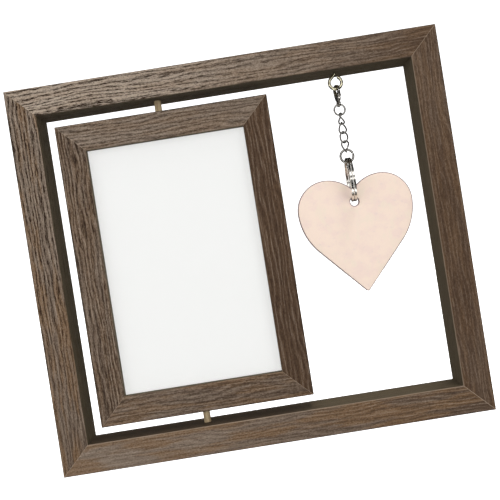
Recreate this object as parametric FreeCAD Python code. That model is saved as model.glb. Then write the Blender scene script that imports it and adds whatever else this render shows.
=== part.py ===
"""A standing photo frame: a small picture frame spins in it on two dowels, and a heart hangs beside it.

X runs to the right, Y to the back and Z up. The origin is on the ground, under the middle.
All lengths are in millimetres and all angles in degrees.
"""
import FreeCAD
import Part
import math
import os

Vec = FreeCAD.Vector
UP = Vec(0, 0, 1)
BACK = Vec(0, 1, 0)
RIGHT = Vec(1, 0, 0)

# The print and the rabbet that holds it between two panes
PRINT_WIDTH = 102.0
PRINT_HEIGHT = 152.0
PRINT_PLAY = 0.5
LIP_COVER = 7.0
LIP_DEPTH = 4.0
PANE_DEPTH = 2.0
CARD_DEPTH = 0.3
BOARD_DEPTH = 3.2
BACK_RECESS = 0.2

# The two mouldings
INNER_FACE = 15.6
OUTER_FACE = 16.0
OUTER_DEPTH = 20.0
EDGE_ROUND = 0.8

# Open gaps round the inner frame and round the heart
GAP_LEFT = 7.8
GAP_TOP = 6.8
GAP_BOTTOM = 7.0
HEART_GAP_LEFT = 7.3
HEART_GAP_RIGHT = 9.3

# The dowels that the inner frame spins on, a little left of its middle
DOWEL_WIDTH = 4.0
DOWEL_CHAMFER = 0.4
DOWEL_FLOOR = 2.0
DOWEL_BEARING = 10.0
DOWEL_END_PLAY = 1.0
THRUST_GAP = 0.1
RUNNING_GAP = 0.08
GLUE_GAP = 0.02
PIVOT_SHIFT = 1.4

# Corner nails, driven across the mitres from behind
NAIL_LEG = 4.0
NAIL_THICK = 0.5
OUTER_NAIL_LENGTH = 7.0
INNER_NAIL_LENGTH = 5.0
OUTER_NAIL_SHARES = (0.2, 0.58)
INNER_NAIL_SHARES = (0.14,)

# Turn buttons and their screws on the back of the inner stiles
BUTTON_REACH = 9.0
BUTTON_ROOT_WIDTH = 6.4
BUTTON_TIP_WIDTH = 4.4
BUTTON_THICK = 0.8
BUTTON_LIFT = 0.05
BUTTON_HEIGHT_SHARE = 0.27
SCREW_WIDTH = 2.4
SCREW_GRIP = 5.0
SCREW_HEAD_WIDTH = 4.8
SCREW_HEAD_HEIGHT = 1.2
SCREW_HEAD_TOP = 3.0

# The screw eye in the top rail
EYE_WIRE = 1.8
EYE_INSIDE = 5.2
EYE_DROP = 5.6
EYE_NECK = 0.7
EYE_BEND = 1.6
EYE_MOUTH = 0.3
EYE_GRIP = 10.0

# Room that each hanging piece keeps from the piece that carries it, less for round wire on round wire
HANG_GAP = 0.1
FLAT_HANG_GAP = 0.2

# The lobster clasp: a hook that narrows to a tail loop, closed by a sprung lever
CLASP_LENGTH = 12.6
CLASP_TURN = -70.0
HOOK_INSIDE = 3.5
CLASP_RIM = 1.3
CROWN_DEPTH = 1.3
BASE_DEPTH = 2.0
TAIL_DEPTH = 1.2
TAIL_HOLE = 2.1
TAIL_RIM = 0.7
BASE_RADIUS = 1.5
BASE_OVER_TAIL = 2.45
WINDOW_FOOT_RADIUS = 0.7
WINDOW_FOOT_RISE = 2.1
GATE_DROP = 0.85
GATE_GAP = 0.08
CHEEK_RISE = 1.1
SHOULDER_GAP = 0.2
LEVER_PIN_WIDTH = 0.7
LEVER_PIN_OFFSET = 0.75
LEVER_PIN_RISE = 0.5
LEVER_ROOT_RADIUS = 0.85
LEVER_SHOULDER_RADIUS = 0.57
LEVER_ROOT_DEPTH = 0.8
LEVER_SIDE_GAP = 0.05
THUMB_RADIUS = 0.75
THUMB_TIP_RADIUS = 0.5
THUMB_OUT = 2.9
THUMB_RISE = 2.1
FORK_LEFT = 0.7
FORK_FLOOR = 1.0
SPRING_WIRE = 0.24
SPRING_RISE = 1.1
SPRING_BEND = 1.0
SPRING_SWEEP = 40.0
SPRING_WALL_GAP = 0.08

# Jump rings above and below the chain
SMALL_RING_WIDTH = 7.1
SMALL_RING_WIRE = 1.0
LARGE_RING_WIDTH = 8.6
LARGE_RING_WIRE = 1.3
RING_SEAM = 3.0
SMALL_RING_SEAM_AT = 200.0
LARGE_RING_SEAM_AT = 20.0

# Four twisted curb links: how each one faces, and its butt seam
LINK_WIDTH = 5.0
LINK_WIRE = 0.9
LINK_INSIDE = 5.4
LINK_TWIST = 56.0
LINK_SEAM = 0.12
LINK_FACINGS = (60.0, 20.0, -10.0, -50.0)

# The split ring: one flat wire wound twice, with a jog from one coil to the other
SPLIT_WIDTH = 25.0
SPLIT_BAND = 1.5
SPLIT_WIRE = 1.25
SPLIT_COIL_GAP = 0.5
SPLIT_CHAMFER = 0.3
SPLIT_TURN = 4.0
SPLIT_STEPS = 24
SPLIT_JOG = 40.0
SPLIT_JOG_AT = -70.0

# The heart and its hole
HEART_WIDTH = 65.4
HEART_HEIGHT = 65.4
HEART_DEPTH = 3.0
HEART_NOTCH = 7.5
HEART_HOLE = 4.7
HOLE_BELOW_NOTCH = 6.8
HEART_TIP_RADIUS = 2.2
LOBE_MIDDLE_SHARE = 0.483
HEART_SIDE_SHARE = 1.04

# How finely wires are rolled: flats round a wire, and degrees of bend between sections
WIRE_SIDES = 10
BEND_STEP = 18.0
LINK_BEND_STEP = 22.5

# How far a cut runs past what it cuts
CUT_PAST = 1.0

# Inner frame, worked out from the print
window_width = PRINT_WIDTH + 2 * PRINT_PLAY - 2 * LIP_COVER
window_height = PRINT_HEIGHT + 2 * PRINT_PLAY - 2 * LIP_COVER
inner_width = window_width + 2 * INNER_FACE
inner_height = window_height + 2 * INNER_FACE
inner_depth = LIP_DEPTH + 2 * PANE_DEPTH + 2 * CARD_DEPTH + BOARD_DEPTH + BACK_RECESS
inner_wall = INNER_FACE - LIP_COVER

# Outer frame, worked out from what stands and hangs in it
aperture_width = GAP_LEFT + inner_width + HEART_GAP_LEFT + HEART_WIDTH + HEART_GAP_RIGHT
aperture_height = GAP_BOTTOM + inner_height + GAP_TOP
outer_width = aperture_width + 2 * OUTER_FACE
outer_height = aperture_height + 2 * OUTER_FACE
inner_left = GAP_LEFT - aperture_width / 2
inner_middle = inner_left + inner_width / 2
inner_bottom = OUTER_FACE + GAP_BOTTOM
inner_top = inner_bottom + inner_height
pivot_x = inner_middle - PIVOT_SHIFT
rail_underside = OUTER_FACE + aperture_height
pendant_x = aperture_width / 2 - HEART_GAP_RIGHT - HEART_WIDTH / 2

# Heights down the pendant, each from the piece above
eye_radius = (EYE_INSIDE + EYE_WIRE) / 2
eye_centre = rail_underside - EYE_DROP
eye_seat = eye_centre - eye_radius
crown_inside = EYE_WIRE / 2 + FLAT_HANG_GAP
hook_centre = crown_inside - HOOK_INSIDE / 2
tail_radius = TAIL_HOLE / 2 + TAIL_RIM
tail_centre = crown_inside + CLASP_RIM - CLASP_LENGTH + tail_radius
base_centre = tail_centre + BASE_OVER_TAIL
tail_seat = eye_seat + tail_centre - TAIL_HOLE / 2 - TAIL_RIM / 2
small_ring_radius = (SMALL_RING_WIDTH - SMALL_RING_WIRE) / 2
small_ring_centre = tail_seat + TAIL_RIM / 2 + FLAT_HANG_GAP + SMALL_RING_WIRE / 2 - small_ring_radius
small_ring_seat = small_ring_centre - small_ring_radius
link_rise = (LINK_INSIDE + LINK_WIRE) / 2
first_link_centre = small_ring_seat + SMALL_RING_WIRE / 2 + HANG_GAP - LINK_INSIDE / 2
link_pitch = LINK_INSIDE - HANG_GAP
link_centres = [first_link_centre - link_pitch * k for k in range(len(LINK_FACINGS))]
link_seats = [centre - link_rise for centre in link_centres]
large_ring_radius = (LARGE_RING_WIDTH - LARGE_RING_WIRE) / 2
large_ring_inside = large_ring_radius - LARGE_RING_WIRE / 2
large_ring_centre = link_seats[-1] + LINK_WIRE / 2 + HANG_GAP + LARGE_RING_WIRE / 2 - large_ring_radius
split_depth = 2 * SPLIT_WIRE + SPLIT_COIL_GAP
split_inside = SPLIT_WIDTH / 2 - SPLIT_BAND
split_perch = large_ring_centre - math.sqrt(large_ring_inside ** 2 - (split_depth / 2) ** 2)
split_centre = split_perch + HANG_GAP - split_inside
split_lean = HEART_DEPTH / 2 * math.tan(math.radians(SPLIT_TURN))
split_reach = (split_depth / 2 - SPLIT_CHAMFER) / math.cos(math.radians(SPLIT_TURN)) + split_lean
hole_perch = split_centre - math.sqrt(split_inside ** 2 - (HEART_DEPTH / 2) ** 2)
hole_centre = hole_perch + FLAT_HANG_GAP - math.sqrt((HEART_HOLE / 2) ** 2 - split_reach ** 2)
heart_notch = hole_centre + HOLE_BELOW_NOTCH
heart_top = heart_notch + HEART_NOTCH
heart_tip = heart_top - HEART_HEIGHT

# The lever's pin, from the eye's seat, in the clasp's own plane
pin_x = LEVER_PIN_OFFSET
pin_z = base_centre + LEVER_PIN_RISE
cheek_top = base_centre + CHEEK_RISE
gate_reach = math.hypot(HOOK_INSIDE / 2 + CLASP_RIM / 2 - pin_x, hook_centre - GATE_DROP - pin_z)

# Where the turn buttons sit on the back of the inner stiles
button_rise = BUTTON_HEIGHT_SHARE * inner_height
inner_back = inner_depth / 2
button_places = {
    "left_low": (inner_left + inner_wall / 2, -button_rise, 0),
    "left_high": (inner_left + inner_wall / 2, button_rise, 0),
    "right_low": (inner_left + inner_width - inner_wall / 2, -button_rise, 180),
    "right_high": (inner_left + inner_width - inner_wall / 2, button_rise, 180),
}


def turned(shape, axis, angle):
    """A copy of a shape turned about an axis through the origin."""
    copy = shape.copy()
    copy.rotate(Vec(), axis, angle)
    return copy


def moved(shape, x=0, y=0, z=0):
    """A copy of a shape moved along the three axes."""
    copy = shape.copy()
    copy.translate(Vec(x, y, z))
    return copy


def prism(points, depth, front):
    """A closed outline of (x, z) points in the XZ plane, given depth from its front to the back."""
    wire = Part.makePolygon([Vec(x, front, z) for x, z in points + points[:1]])
    return Part.Face(wire).extrude(BACK * depth)


def rod(radius, start, end):
    """A round rod between two points."""
    return Part.makeCylinder(radius, (end - start).Length, start, end - start)


def arc_edge(start, heading, end):
    """The arc that leaves start along heading and arrives at end."""
    chord = end - start
    across = heading - chord * (heading.dot(chord) / chord.dot(chord))
    half_turn = heading.getAngle(chord) / 2
    middle = start + chord / 2 + across.normalize() * (chord.Length / 2 * math.tan(half_turn))
    return Part.Arc(start, middle, end).toShape()


def bend_stations(centre, radius, start, end):
    """Stations along an arc in the XZ plane, from one angle to another, counted from +X towards +Z."""
    steps = max(1, round(abs(end - start) / BEND_STEP))
    onward = 90 if end > start else -90
    stations = []
    for k in range(steps + 1):
        angle = math.radians(start + (end - start) * k / steps)
        ahead = angle + math.radians(onward)
        place = centre + Vec(math.cos(angle), 0, math.sin(angle)) * radius
        stations.append((place, Vec(math.cos(ahead), 0, math.sin(ahead)), BACK))
    return stations


def wire_form(stations, radius):
    """A round wire, in narrow flats, through stations of a place, a heading and a side to keep."""
    sections = []
    for place, heading, side in stations:
        first = (side - heading * side.dot(heading)).normalize() * radius
        second = heading.cross(first)
        spokes = [2 * math.pi * k / WIRE_SIDES for k in range(WIRE_SIDES)]
        points = [place + first * math.cos(spoke) + second * math.sin(spoke) for spoke in spokes]
        sections.append(Part.makePolygon(points + points[:1]))
    return Part.makeLoft(sections, True, True)


def belt(centre_a, radius_a, centre_b, radius_b, depth):
    """The outline of a belt round two circles in the XZ plane, given depth about Y = 0."""
    across = centre_b - centre_a
    lean = math.degrees(math.asin((radius_a - radius_b) / across.Length))
    along = across * (1 / across.Length)
    side = turned_vector(along, 90 - lean)
    other = turned_vector(along, lean - 90)
    points = [centre_a + side * radius_a, centre_b + side * radius_b,
              centre_b + other * radius_b, centre_a + other * radius_a]
    wire = Part.Wire([
        Part.LineSegment(points[0], points[1]).toShape(),
        Part.Arc(points[1], centre_b + along * radius_b, points[2]).toShape(),
        Part.LineSegment(points[2], points[3]).toShape(),
        Part.Arc(points[3], centre_a - along * radius_a, points[0]).toShape(),
    ])
    return moved(Part.Face(wire).extrude(BACK * depth), y=-depth / 2)


def turned_vector(vector, angle):
    """A vector turned about Y."""
    return FreeCAD.Rotation(BACK, angle).multVec(vector)


def mitred_bar(length, face, depth):
    """A moulding along X with rounded edges and 45 degree ends, its outer edge on Z = 0."""
    bar = Part.makeBox(length, depth, face, Vec(-length / 2, -depth / 2, 0))
    bar = bar.makeFillet(EDGE_ROUND, [edge for edge in bar.Edges if edge.BoundBox.XLength > length / 2])
    outside = length / 2 + CUT_PAST
    inside = length / 2 - face - CUT_PAST
    over = face + CUT_PAST
    between_mitres = [(-outside, -CUT_PAST), (outside, -CUT_PAST), (inside, over), (-inside, over)]
    return bar.common(prism(between_mitres, depth + 2 * CUT_PAST, -depth / 2 - CUT_PAST))


def rabbeted_bar(length):
    """An inner moulding: a mitred bar with a step behind its lip for the panes and prints."""
    lip_back = LIP_DEPTH - inner_depth / 2
    step = Part.makeBox(length, inner_depth, INNER_FACE, Vec(-length / 2, lip_back, inner_wall))
    return mitred_bar(length, INNER_FACE, inner_depth).cut(step)


def frame_sides(width, height, left, bottom, bar_of_length):
    """Four mitred sides of a frame, turned and moved to their places."""
    middle = left + width / 2
    halfway = bottom + height / 2
    places = [("bottom_rail", width, middle, bottom), ("left_stile", height, left, halfway),
              ("top_rail", width, middle, bottom + height), ("right_stile", height, left + width, halfway)]
    sides = {}
    for quarter, (name, length, x, z) in enumerate(places):
        sides[name] = moved(turned(bar_of_length(length), BACK, 90 * quarter), x=x, z=z)
    return sides


def corner_nails(width, height, left, bottom, back, face, shares, length):
    """Angle-shaped nails in the four corners of a frame, each across its mitre."""
    outline = [(0, 0), (NAIL_LEG, 0), (NAIL_LEG, NAIL_THICK), (NAIL_THICK, NAIL_THICK),
               (NAIL_THICK, NAIL_LEG), (0, NAIL_LEG)]
    nail = prism(outline, length, back - length)
    corners = [(left, bottom), (left, bottom + height), (left + width, bottom + height), (left + width, bottom)]
    nails = []
    for quarter, (x, z) in enumerate(corners):
        for share in shares:
            inset = moved(nail, x=share * face, z=share * face)
            nails.append(moved(turned(inset, BACK, 90 * quarter), x=x, z=z))
    return nails


def dowel_hole(extra, low, high):
    """The space of a dowel hole between two heights, wider than the dowel by extra all round."""
    return rod(DOWEL_WIDTH / 2 + extra, Vec(pivot_x, 0, low), Vec(pivot_x, 0, high))


def dowel(free_end, glued_end):
    """A wooden dowel from the height of its chamfered free end to that of its glued end."""
    pin = rod(DOWEL_WIDTH / 2, Vec(pivot_x, 0, free_end), Vec(pivot_x, 0, glued_end))
    rim = [edge for edge in pin.Edges
           if edge.BoundBox.ZLength < DOWEL_CHAMFER and abs(edge.CenterOfMass.z - free_end) < DOWEL_CHAMFER]
    return pin.makeChamfer(DOWEL_CHAMFER, rim)


def outer_frame():
    """The standing frame, bored for the dowels and the screw eye and pocketed for its nails."""
    sides = frame_sides(outer_width, outer_height, -outer_width / 2, 0,
                        lambda length: mitred_bar(length, OUTER_FACE, OUTER_DEPTH))
    nails = corner_nails(outer_width, outer_height, -outer_width / 2, 0, OUTER_DEPTH / 2,
                         OUTER_FACE, OUTER_NAIL_SHARES, OUTER_NAIL_LENGTH)
    sides = {name: side.cut(nails) for name, side in sides.items()}
    foot_hole = dowel_hole(RUNNING_GAP, OUTER_FACE - DOWEL_BEARING, OUTER_FACE + CUT_PAST)
    head_hole = dowel_hole(RUNNING_GAP, rail_underside - CUT_PAST, rail_underside + DOWEL_BEARING)
    eye_hole = rod(EYE_WIRE / 2 + GLUE_GAP, Vec(pendant_x, 0, rail_underside - CUT_PAST),
                   Vec(pendant_x, 0, rail_underside + EYE_GRIP))
    sides["bottom_rail"] = sides["bottom_rail"].cut(foot_hole)
    sides["top_rail"] = sides["top_rail"].cut([head_hole, eye_hole])
    nodes = {"outer_" + name: side for name, side in sides.items()}
    nodes["outer_corner_nails"] = Part.Compound(nails)
    return nodes


def screw_places():
    """Where the four screws stand on the back of the inner stiles."""
    halfway = inner_bottom + inner_height / 2
    return {name: (x, halfway + rise, turn) for name, (x, rise, turn) in button_places.items()}


def inner_frame():
    """The picture frame that spins, with its nails, dowels and screws."""
    sides = frame_sides(inner_width, inner_height, inner_left, inner_bottom, rabbeted_bar)
    nails = corner_nails(inner_width, inner_height, inner_left, inner_bottom, inner_back,
                         INNER_FACE, INNER_NAIL_SHARES, INNER_NAIL_LENGTH)
    sides = {name: side.cut(nails) for name, side in sides.items()}
    grip = inner_wall - DOWEL_FLOOR
    sides["bottom_rail"] = sides["bottom_rail"].cut(
        dowel_hole(GLUE_GAP, inner_bottom - CUT_PAST, inner_bottom + grip))
    sides["top_rail"] = sides["top_rail"].cut(
        dowel_hole(GLUE_GAP, inner_top - grip, inner_top + CUT_PAST))
    for name, (x, z, turn) in screw_places().items():
        stile = name.split("_")[0] + "_stile"
        hole = rod(SCREW_WIDTH / 2 + GLUE_GAP, Vec(x, inner_back - SCREW_GRIP, z),
                   Vec(x, inner_back + CUT_PAST, z))
        sides[stile] = sides[stile].cut(hole)
    nodes = {"inner_" + name: side for name, side in sides.items()}
    nodes["inner_corner_nails"] = Part.Compound(nails)
    nodes["bottom_dowel"] = dowel(OUTER_FACE - DOWEL_BEARING + THRUST_GAP, inner_bottom + grip)
    nodes["top_dowel"] = dowel(rail_underside + DOWEL_BEARING - DOWEL_END_PLAY, inner_top - grip)
    nodes["turn_button_screws"] = Part.Compound(
        [moved(button_screw(), x=x, z=z) for x, z, turn in screw_places().values()])
    return nodes


def button_screw():
    """A round-headed wood screw that stands on the back of a stile at X = 0 and Z = 0."""
    under_head = BACK * (inner_back + 2 * BUTTON_LIFT + BUTTON_THICK)
    head = Part.makeCone(SCREW_HEAD_WIDTH / 2, SCREW_HEAD_TOP / 2, SCREW_HEAD_HEIGHT, under_head, BACK)
    return head.fuse(rod(SCREW_WIDTH / 2, BACK * (inner_back - SCREW_GRIP), under_head))


def turn_buttons():
    """Four flat turn buttons, each closed over the back pane."""
    plate = belt(Vec(), BUTTON_ROOT_WIDTH / 2, Vec(BUTTON_REACH, 0, 0), BUTTON_TIP_WIDTH / 2, BUTTON_THICK)
    hole = rod(SCREW_WIDTH / 2 + RUNNING_GAP, BACK * -BUTTON_THICK, BACK * BUTTON_THICK)
    plate = plate.cut(hole)
    height = inner_back + BUTTON_LIFT + BUTTON_THICK / 2
    nodes = {}
    for name, (x, z, turn) in screw_places().items():
        nodes["turn_button_" + name] = moved(turned(plate, BACK, turn), x=x, y=height, z=z)
    return nodes


def picture_stack():
    """Pane, print, board, print and pane, one behind the other from the lip to the back."""
    layers = [("front_pane", PANE_DEPTH), ("front_print", CARD_DEPTH), ("centre_board", BOARD_DEPTH),
              ("back_print", CARD_DEPTH), ("back_pane", PANE_DEPTH)]
    front = LIP_DEPTH - inner_depth / 2
    nodes = {}
    for name, depth in layers:
        corner = Vec(inner_middle - PRINT_WIDTH / 2, front, inner_bottom + (inner_height - PRINT_HEIGHT) / 2)
        nodes[name] = Part.makeBox(PRINT_WIDTH, depth, PRINT_HEIGHT, corner)
        front += depth
    return nodes


def screw_eye():
    """A wire eye: a shank into the rail, a bend to one side, a round loop and an open end."""
    apex = UP * (EYE_DROP - EYE_NECK)
    half_mouth = math.degrees(math.asin(eye_radius / apex.z))
    bend_rise = apex.z + EYE_BEND * math.tan(math.radians(half_mouth) / 2)
    mouth = (EYE_WIRE + EYE_MOUTH) / math.sin(math.radians(2 * half_mouth))
    loop = bend_stations(Vec(), eye_radius, 180 - half_mouth, 360 + half_mouth)
    last_way = loop[-1][1]
    stations = [(UP * (EYE_DROP + EYE_GRIP), UP * -1, BACK)]
    stations += bend_stations(Vec(-EYE_BEND, 0, bend_rise), EYE_BEND, 0, -half_mouth)
    stations += loop
    stations.append((apex - last_way * mouth, last_way, BACK))
    return {"screw_eye": moved(wire_form(stations, EYE_WIRE / 2), x=pendant_x, z=eye_centre)}


def clasp_side_view():
    """The clasp seen edge-on: thin at the crown, thickest at the lever's root and thin at the tail."""
    crown = crown_inside + CLASP_RIM + CUT_PAST
    foot = tail_centre - tail_radius - CUT_PAST
    right = [(CROWN_DEPTH / 2, crown), (CROWN_DEPTH / 2, hook_centre), (BASE_DEPTH / 2, cheek_top),
             (BASE_DEPTH / 2, base_centre), (TAIL_DEPTH / 2, base_centre - BASE_RADIUS), (TAIL_DEPTH / 2, foot)]
    outline = right + [(-y, z) for y, z in reversed(right)]
    width = HOOK_INSIDE + 2 * CLASP_RIM + 2 * THUMB_OUT
    wire = Part.makePolygon([Vec(-width / 2, y, z) for y, z in outline + outline[:1]])
    return Part.Face(wire).extrude(RIGHT * width)


def clasp_ring():
    """The closed outline that hook and lever share: a rim that narrows from the crown to the base."""
    hook = Vec(0, 0, hook_centre)
    rim = belt(hook, HOOK_INSIDE / 2 + CLASP_RIM, Vec(0, 0, base_centre), BASE_RADIUS, BASE_DEPTH)
    window_foot = base_centre + WINDOW_FOOT_RISE
    window = belt(hook, HOOK_INSIDE / 2, Vec(0, 0, window_foot), WINDOW_FOOT_RADIUS, 2 * BASE_DEPTH)
    return rim.cut(window)


def gate_space(left, low, reach):
    """The clasp's right arm beyond a left edge and a height, out to the lever's reach round its pin."""
    width = HOOK_INSIDE / 2 + CLASP_RIM + CUT_PAST - left
    arm = Part.makeBox(width, 2 * BASE_DEPTH, crown_inside - low, Vec(left, -BASE_DEPTH, low))
    return arm.common(round_hole(reach))


def round_hole(radius):
    """A round space through the clasp about the lever's pin."""
    return rod(radius, Vec(pin_x, -BASE_DEPTH, pin_z), Vec(pin_x, BASE_DEPTH, pin_z))


def clasp_body():
    """The hook with its tail loop and the fork for the lever."""
    tail = rod(tail_radius, Vec(0, -BASE_DEPTH, tail_centre), Vec(0, BASE_DEPTH, tail_centre))
    tail_hole = rod(TAIL_HOLE / 2, Vec(0, -BASE_DEPTH, tail_centre), Vec(0, BASE_DEPTH, tail_centre))
    fork_depth = LEVER_ROOT_DEPTH + 2 * LEVER_SIDE_GAP
    fork_width = FORK_LEFT + HOOK_INSIDE / 2 + CLASP_RIM
    fork_floor = base_centre - FORK_FLOOR
    fork = Part.makeBox(fork_width, fork_depth, cheek_top + CUT_PAST - fork_floor,
                        Vec(-FORK_LEFT, -fork_depth / 2, fork_floor))
    body = clasp_ring().fuse(tail).common(clasp_side_view())
    return body.cut([gate_space(0, cheek_top, gate_reach), fork, tail_hole, round_hole(LEVER_PIN_WIDTH / 2)])


def clasp_lever():
    """The lever that closes the hook: a root on the pin, an arm up to the hook's tip, a thumb stud."""
    arm = clasp_ring().common(gate_space(pin_x, cheek_top + SHOULDER_GAP, gate_reach - GATE_GAP))
    thumb_foot = Vec(HOOK_INSIDE / 2, 0, base_centre + THUMB_RISE)
    thumb = belt(thumb_foot, THUMB_RADIUS, Vec(THUMB_OUT, 0, base_centre + THUMB_RISE), THUMB_TIP_RADIUS,
                 CROWN_DEPTH)
    root_top = Vec(pin_x + LEVER_ROOT_RADIUS / 2, 0, cheek_top + SHOULDER_GAP + LEVER_ROOT_RADIUS / 2)
    root = belt(Vec(pin_x, 0, pin_z), LEVER_ROOT_RADIUS, root_top, LEVER_SHOULDER_RADIUS, LEVER_ROOT_DEPTH)
    lever = arm.fuse([thumb, root]).common(clasp_side_view())
    return lever.cut(round_hole(LEVER_PIN_WIDTH / 2 + LEVER_SIDE_GAP))


def clasp_spring():
    """A thin bent wire in the fork that pushes the lever shut."""
    radius = SPRING_WIRE / 2
    x = radius + SPRING_WALL_GAP - FORK_LEFT
    foot = base_centre - FORK_FLOOR + SPRING_WALL_GAP
    bend = bend_stations(Vec(x + SPRING_BEND, 0, foot + SPRING_RISE), SPRING_BEND, 180, 180 - SPRING_SWEEP)
    return wire_form([(Vec(x, 0, foot), UP, BACK)] + bend, radius)


def clasp():
    """The four pieces of the clasp, turned to hang from the eye."""
    pin = rod(LEVER_PIN_WIDTH / 2, Vec(pin_x, -BASE_DEPTH / 2, pin_z), Vec(pin_x, BASE_DEPTH / 2, pin_z))
    pieces = {"clasp_body": clasp_body(), "clasp_lever": clasp_lever(),
              "clasp_pin": pin, "clasp_spring": clasp_spring()}
    return {name: moved(turned(piece, UP, CLASP_TURN), x=pendant_x, z=eye_seat)
            for name, piece in pieces.items()}


def jump_ring(radius, wire, centre, seam_at):
    """A round wire ring in the XZ plane with a narrow butt seam."""
    stations = bend_stations(Vec(), radius, seam_at, seam_at + 360 - RING_SEAM)
    return moved(wire_form(stations, wire / 2), x=pendant_x, z=centre)


def curb_link(centre, facing):
    """A twisted oval wire link: straight sides, round ends, and a butt seam in one side."""
    reach = (LINK_WIDTH - LINK_WIRE) / 2
    side = link_rise - reach
    twist_rate = LINK_TWIST / link_rise
    quarters = [LINK_BEND_STEP * k for k in range(round(180 / LINK_BEND_STEP) + 1)]
    stops = [(0, LINK_SEAM / 2)] + [(angle, side) for angle in quarters] + [(180, 0)]
    stops += [(180 + angle, -side) for angle in quarters] + [(360, -LINK_SEAM / 2)]
    stations = []
    for angle, offset in stops:
        out = reach * math.cos(math.radians(angle))
        rise = reach * math.sin(math.radians(angle))
        height = rise + offset
        turn = FreeCAD.Rotation(UP, facing + twist_rate * height)
        sweep = math.radians(twist_rate) * out * out
        heading = turn.multVec(Vec(-rise, sweep, out)).normalize()
        stations.append((turn.multVec(Vec(out, 0, height)), heading, turn.multVec(BACK)))
    return moved(wire_form(stations, LINK_WIRE / 2), x=pendant_x, z=centre)


def chain():
    """The two jump rings and the curb links between them."""
    nodes = {"upper_jump_ring": jump_ring(small_ring_radius, SMALL_RING_WIRE, small_ring_centre,
                                          SMALL_RING_SEAM_AT)}
    for number, (centre, facing) in enumerate(zip(link_centres, LINK_FACINGS), start=1):
        nodes["chain_link_%d" % number] = curb_link(centre, facing)
    nodes["lower_jump_ring"] = jump_ring(large_ring_radius, LARGE_RING_WIRE, large_ring_centre,
                                         LARGE_RING_SEAM_AT)
    return nodes


def split_coil_shift(angle):
    """How far the split ring's wire lies to one side: one coil, a smooth jog, then the other coil."""
    step = (angle - 360 + SPLIT_JOG / 2) / SPLIT_JOG
    step = min(max(step, 0), 1)
    return (SPLIT_WIRE + SPLIT_COIL_GAP) * (step * step * (3 - 2 * step) - 1 / 2)


def split_ring():
    """A flat wire wound twice in the YZ plane, with chamfered edges."""
    middle = SPLIT_WIDTH / 2 - SPLIT_BAND / 2
    half_band = SPLIT_BAND / 2
    half_wire = SPLIT_WIRE / 2
    flat_band = half_band - SPLIT_CHAMFER
    flat_wire = half_wire - SPLIT_CHAMFER
    corners = [(-half_wire, -flat_band), (-flat_wire, -half_band), (flat_wire, -half_band),
               (half_wire, -flat_band), (half_wire, flat_band), (flat_wire, half_band),
               (-flat_wire, half_band), (-half_wire, flat_band)]
    first = SPLIT_JOG / 2
    last = 720 - SPLIT_JOG / 2
    steps = round((last - first) * SPLIT_STEPS / 360)
    sections = []
    for k in range(steps + 1):
        angle = first + (last - first) * k / steps
        turn = FreeCAD.Rotation(RIGHT, angle + SPLIT_JOG_AT)
        shift = split_coil_shift(angle)
        points = [turn.multVec(Vec(shift + x, middle + r, 0)) for x, r in corners + corners[:1]]
        sections.append(Part.makePolygon(points))
    ring = Part.makeLoft(sections, True, True)
    return {"split_ring": moved(turned(ring, UP, SPLIT_TURN), x=pendant_x, z=split_centre)}


def heart():
    """A flat heart: two round lobes, bowed sides, straight runs to a small round tip, and a hole."""
    half = HEART_WIDTH / 2
    lobe_x = LOBE_MIDDLE_SHARE * half
    lobe_radius = half - lobe_x
    side_radius = HEART_SIDE_SHARE * half
    top = Vec(lobe_x, 0, heart_top)
    notch = Vec(0, 0, heart_notch)
    widest = Vec(half, 0, heart_top - lobe_radius)
    side_centre = widest - RIGHT * side_radius
    tip_centre = Vec(0, 0, heart_tip + HEART_TIP_RADIUS)
    between = tip_centre - side_centre
    square = math.degrees(math.acos((side_radius - HEART_TIP_RADIUS) / between.Length))
    outward = turned_vector(between.normalize(), -square)
    side_end = side_centre + outward * side_radius
    tip_start = tip_centre + outward * HEART_TIP_RADIUS
    tip = Vec(0, 0, heart_tip)
    edges = [arc_edge(top, RIGHT * -1, notch), arc_edge(top, RIGHT, widest),
             arc_edge(widest, UP * -1, side_end), Part.LineSegment(side_end, tip_start).toShape(),
             arc_edge(tip, RIGHT, tip_start)]
    edges += [edge.mirror(Vec(), RIGHT) for edge in edges]
    face = Part.Face(Part.Wire(Part.__sortEdges__(edges)))
    plate = moved(face.extrude(BACK * HEART_DEPTH), y=-HEART_DEPTH / 2)
    hole = rod(HEART_HOLE / 2, Vec(0, -HEART_DEPTH, hole_centre), Vec(0, HEART_DEPTH, hole_centre))
    return {"heart": moved(plate.cut(hole), x=pendant_x)}


def build():
    """Every piece of the object by name."""
    nodes = {}
    for group in (outer_frame, inner_frame, turn_buttons, picture_stack, screw_eye,
                  clasp, chain, split_ring, heart):
        nodes.update(group())
    return nodes


os.makedirs("parts", exist_ok=True)
pieces = build()
for node, shape in pieces.items():
    shape.exportStep(os.path.join("parts", node + ".step"))
    print("%-24s %d solid, %9.3f mm3, valid %s" % (node, len(shape.Solids), shape.Volume, shape.isValid()))
print("outer frame %.1f by %.1f, inner frame %.1f by %.1f by %.1f" % (
    outer_width, outer_height, inner_width, inner_height, inner_depth))
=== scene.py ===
"""Dresses a standing photo frame: grained mouldings, blank prints behind glass, a bright chain and a pale heart.

Lengths are in metres, X runs to the right, Y to the back and Z up, and the frame stands on Z = 0.
"""
import math

import bpy
import numpy as np
from bpy.props import FloatProperty, FloatVectorProperty, IntProperty, PointerProperty
from mathutils import Matrix, Vector


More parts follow.
